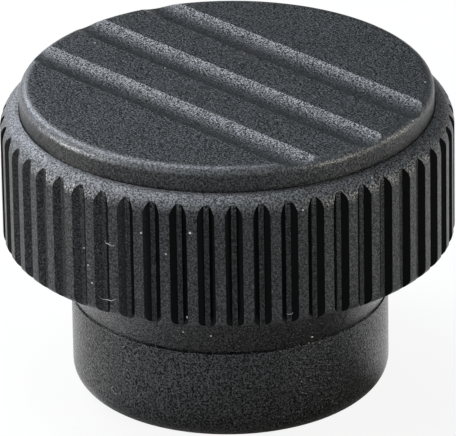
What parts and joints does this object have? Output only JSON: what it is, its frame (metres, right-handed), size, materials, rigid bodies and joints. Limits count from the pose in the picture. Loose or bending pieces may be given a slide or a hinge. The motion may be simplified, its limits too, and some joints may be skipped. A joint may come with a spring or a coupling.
{
  "type": "knurled knob",
  "caption": "Round control knob with a fluted head, a grooved snap-in top cap, and a hub with a threaded brass bush in its end.",
  "frame": {"origin": "centre of the hub's end face, where the knob stands and where it meets the shaft's shoulder", "axes": "+Z along the knob's axis, from the hub's end face to the cap; the cap's grooves run along X"},
  "size_m": [0.05, 0.05, 0.0355],
  "materials": {
    "body_plastic": "black moulded plastic with a rough spark-eroded grain",
    "cap_plastic": "black moulded plastic with a fine even grain",
    "bush_brass": "turned brass",
    "lint": "pale lint fibres and dust caught on the grain, in the visual model only"
  },
  "bodies": {
    "root": {"knob_body": "body_plastic", "top_cap": "cap_plastic", "threaded_bush": "bush_brass"}
  },
  "joints": []
}
